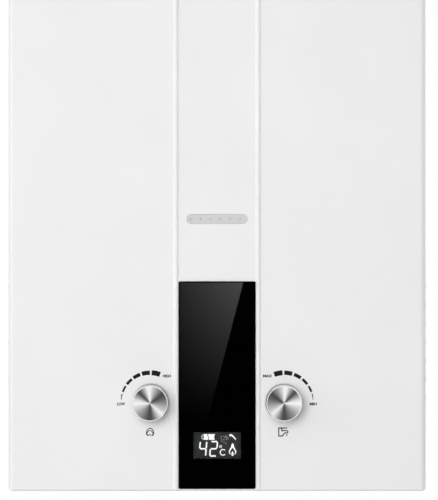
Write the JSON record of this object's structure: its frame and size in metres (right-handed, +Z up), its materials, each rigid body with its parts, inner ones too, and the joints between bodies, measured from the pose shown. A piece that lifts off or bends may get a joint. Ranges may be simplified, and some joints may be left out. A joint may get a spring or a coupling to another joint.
{
  "type": "tankless gas water heater",
  "caption": "Wall-hung gas water heater with a white sheet-steel case, a black glass display strip, two rotary controls, a top flue collar and pipe stubs below.",
  "frame": {"origin": "middle of the four wall bolts, on the wall face of the back plate", "axes": "+Z up, +Y into the wall, so the front with the knobs faces -Y, and +X to the right seen from the front"},
  "size_m": [0.338, 0.187, 0.58],
  "materials": {
    "white_enamel": "smooth baked enamel, low sheen",
    "plated_sheet": "zinc-plated sheet",
    "flue_steel": "rolled steel tube",
    "black_glass": "polished, printed black on its back",
    "display_body": "moulded housing with a lit display",
    "window_plastic": "pale grey translucent insert",
    "knob_plating": "bright plated",
    "spun_aluminium": "spun turned face",
    "valve_brass": "machined and cast brass",
    "cast_aluminium": "sand-cast",
    "steel": "plain plated",
    "copper": "soldered copper sheet and tube",
    "rubber": "moulded",
    "black_plastic": "moulded",
    "red_plastic": "moulded",
    "white_plastic": "moulded, light grain",
    "ceramic": "glazed",
    "cell_jacket": "plain sleeved cell",
    "wire_cover": "silicone covering"
  },
  "bodies": {
    "casing": {"front_cover": "white_enamel", "back_plate": "plated_sheet", "top_plate": "plated_sheet", "bottom_plate": "plated_sheet", "burner_frame": "plated_sheet", "flue_hood": "plated_sheet", "flue_collar": "flue_steel", "glass_panel": "black_glass", "display_module": "display_body", "flame_window": "window_plastic", "water_valve_body": "valve_brass", "water_valve_cover": "valve_brass", "gas_inlet": "valve_brass", "cold_inlet": "valve_brass", "hot_outlet": "valve_brass", "stub_nuts": "valve_brass", "drain_plug": "valve_brass", "gas_jets": "valve_brass", "gas_valve_body": "cast_aluminium", "gas_valve_cap": "cast_aluminium", "gas_manifold": "cast_aluminium", "return_spring": "steel", "valve_screws": "steel", "gland_plates": "steel", "gland_screws": "steel", "cover_screws": "steel", "frame_screws": "steel", "hinge_pin": "steel", "tie_rods": "steel", "gas_riser": "steel", "inlet_filter": "steel", "battery_contacts": "steel", "burner_bars": "steel", "combustion_chamber": "copper", "fin_pack": "copper", "exchanger_tube": "copper", "cold_pipe": "copper", "hot_pipe": "copper", "diaphragm": "rubber", "drain_seal": "rubber", "microswitch": "black_plastic", "overheat_switch": "black_plastic", "outlet_sensor": "black_plastic", "gas_solenoid": "black_plastic", "ignition_box": "white_plastic", "battery_box": "white_plastic", "ignition_electrode": "ceramic", "flame_electrode": "ceramic", "batteries": "cell_jacket", "wiring": "wire_cover"},
    "gas_control": {"gas_knob": "knob_plating", "gas_knob_face": "spun_aluminium", "gas_spindle": "valve_brass"},
    "water_control": {"water_knob": "knob_plating", "water_knob_face": "spun_aluminium", "water_spindle": "valve_brass"},
    "battery_door": {"battery_lid": "white_plastic"},
    "linkage": {"link_rod": "steel"},
    "switch_plunger": {"switch_button": "red_plastic"}
  },
  "joints": [
    {"name": "gas_knob_turn", "type": "hinge", "parent": "casing", "child": "gas_control", "pos_m": [-0.0524, -0.165, -0.20575], "axis": [0, -1, 0], "range_deg": [-50, 50]},
    {"name": "water_knob_turn", "type": "hinge", "parent": "casing", "child": "water_control", "pos_m": [0.0524, -0.165, -0.20575], "axis": [0, -1, 0], "range_deg": [-50, 50]},
    {"name": "battery_lid_swing", "type": "hinge", "parent": "casing", "child": "battery_door", "pos_m": [0.0914, -0.07175, -0.25575], "axis": [0, 1, 0], "range_deg": [0, 95]},
    {"name": "link_rod_slide", "type": "slide", "parent": "casing", "child": "linkage", "axis": [-1, 0, 0], "range_m": [0, 0.003], "stiffness_N_per_m": 400, "springref_m": -0.01, "deforming": ["return_spring", "diaphragm"]},
    {"name": "switch_button_slide", "type": "slide", "parent": "casing", "child": "switch_plunger", "axis": [-1, 0, 0], "range_m": [0, 0.0012]}
  ],
  "couplings": [
    {"joint": "switch_button_slide", "follows": "link_rod_slide", "ratio": 0.4}
  ]
}
